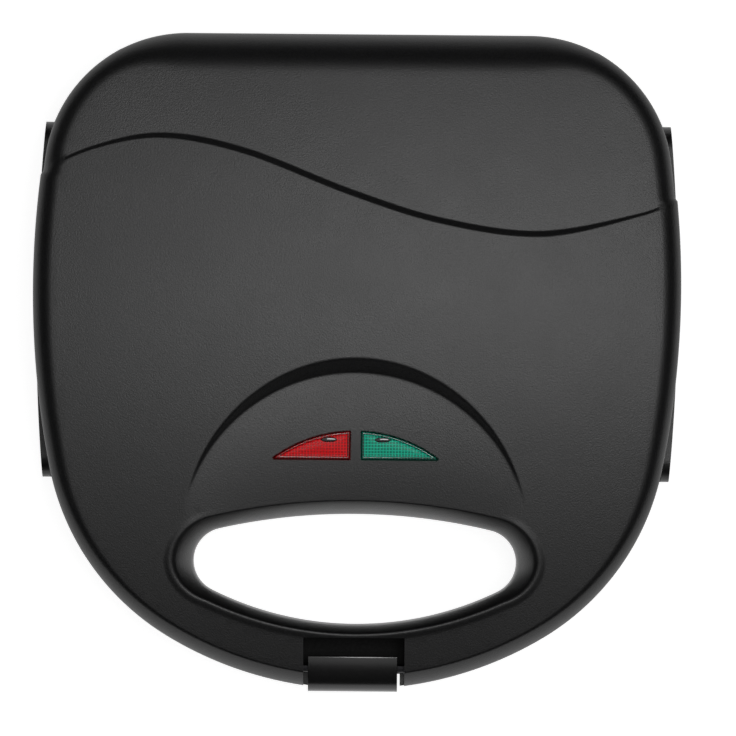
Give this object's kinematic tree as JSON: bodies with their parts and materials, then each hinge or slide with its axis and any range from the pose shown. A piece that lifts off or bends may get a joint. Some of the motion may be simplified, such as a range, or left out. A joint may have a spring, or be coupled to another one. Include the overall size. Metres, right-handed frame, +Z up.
{
  "type": "contact grill",
  "caption": "Low rounded contact grill: a hinged lid with a handle loop, a front latch and two signal lenses closes over two ribbed heating plates.",
  "frame": {"origin": "centre of the overall box, on the surface that the feet stand on", "axes": "+Y from the handle to the hinge, +Z up, +X to the right of someone at the handle; the lid is closed and the latch hangs just released"},
  "size_m": [0.234, 0.2378, 0.0874],
  "materials": {
    "housing": "fine textured black moulding",
    "frame": "fine textured black moulding",
    "latch": "polished black",
    "red_lens": "clear red",
    "green_lens": "clear green",
    "plate_coating": "dark non-stick coating on cast aluminium",
    "steel": "plated",
    "heater_sheath": "heat-tinted sheath",
    "reflector_sheet": "bright rolled sheet",
    "ceramic": "cream ceramic and heatproof moulding",
    "rubber": "matt",
    "lamp_glass": "clear",
    "sleeve": "woven glass fibre"
  },
  "bodies": {
    "base": {"base_housing": "housing", "base_inner_frame": "frame", "lower_plate": "plate_coating", "lower_heater": "heater_sheath", "lower_reflector": "reflector_sheet", "hinge_pin_right": "steel", "hinge_pin_left": "steel", "foot_rear_right": "rubber", "foot_rear_left": "rubber", "foot_front_right": "rubber", "foot_front_left": "rubber", "cord_inlet_bush": "rubber", "terminal_block": "ceramic", "base_lead": "sleeve", "lower_heater_lead_right": "sleeve", "lower_heater_lead_left": "sleeve", "lower_plate_screw_1": "steel", "lower_plate_screw_2": "steel", "lower_plate_screw_3": "steel", "lower_plate_screw_4": "steel", "base_frame_screw_1": "steel", "base_frame_screw_2": "steel", "base_frame_screw_3": "steel", "base_frame_screw_4": "steel"},
    "lid": {"lid_cover": "housing", "lid_inner_frame": "frame", "upper_plate": "plate_coating", "upper_heater": "heater_sheath", "upper_reflector": "reflector_sheet", "thermostat": "ceramic", "thermal_fuse": "sleeve", "latch_pin": "steel", "red_lens": "red_lens", "green_lens": "green_lens", "red_neon_lamp": "lamp_glass", "green_neon_lamp": "lamp_glass", "lamp_holder": "ceramic", "lid_lead": "sleeve", "upper_plate_screw_1": "steel", "upper_plate_screw_2": "steel", "lid_frame_screw_1": "steel", "lid_frame_screw_2": "steel", "lid_frame_screw_3": "steel", "lid_frame_screw_4": "steel"},
    "latch": {"latch": "latch"}
  },
  "joints": [
    {"name": "lid_hinge", "type": "hinge", "parent": "base", "child": "lid", "pos_m": [0, 0.1151, 0.045], "axis": [-1, 0, 0], "range_deg": [0, 105]},
    {"name": "latch_pivot", "type": "hinge", "parent": "lid", "child": "latch", "pos_m": [0, -0.1105, 0.06277], "axis": [-1, 0, 0], "range_deg": [-3.6, 75]}
  ]
}
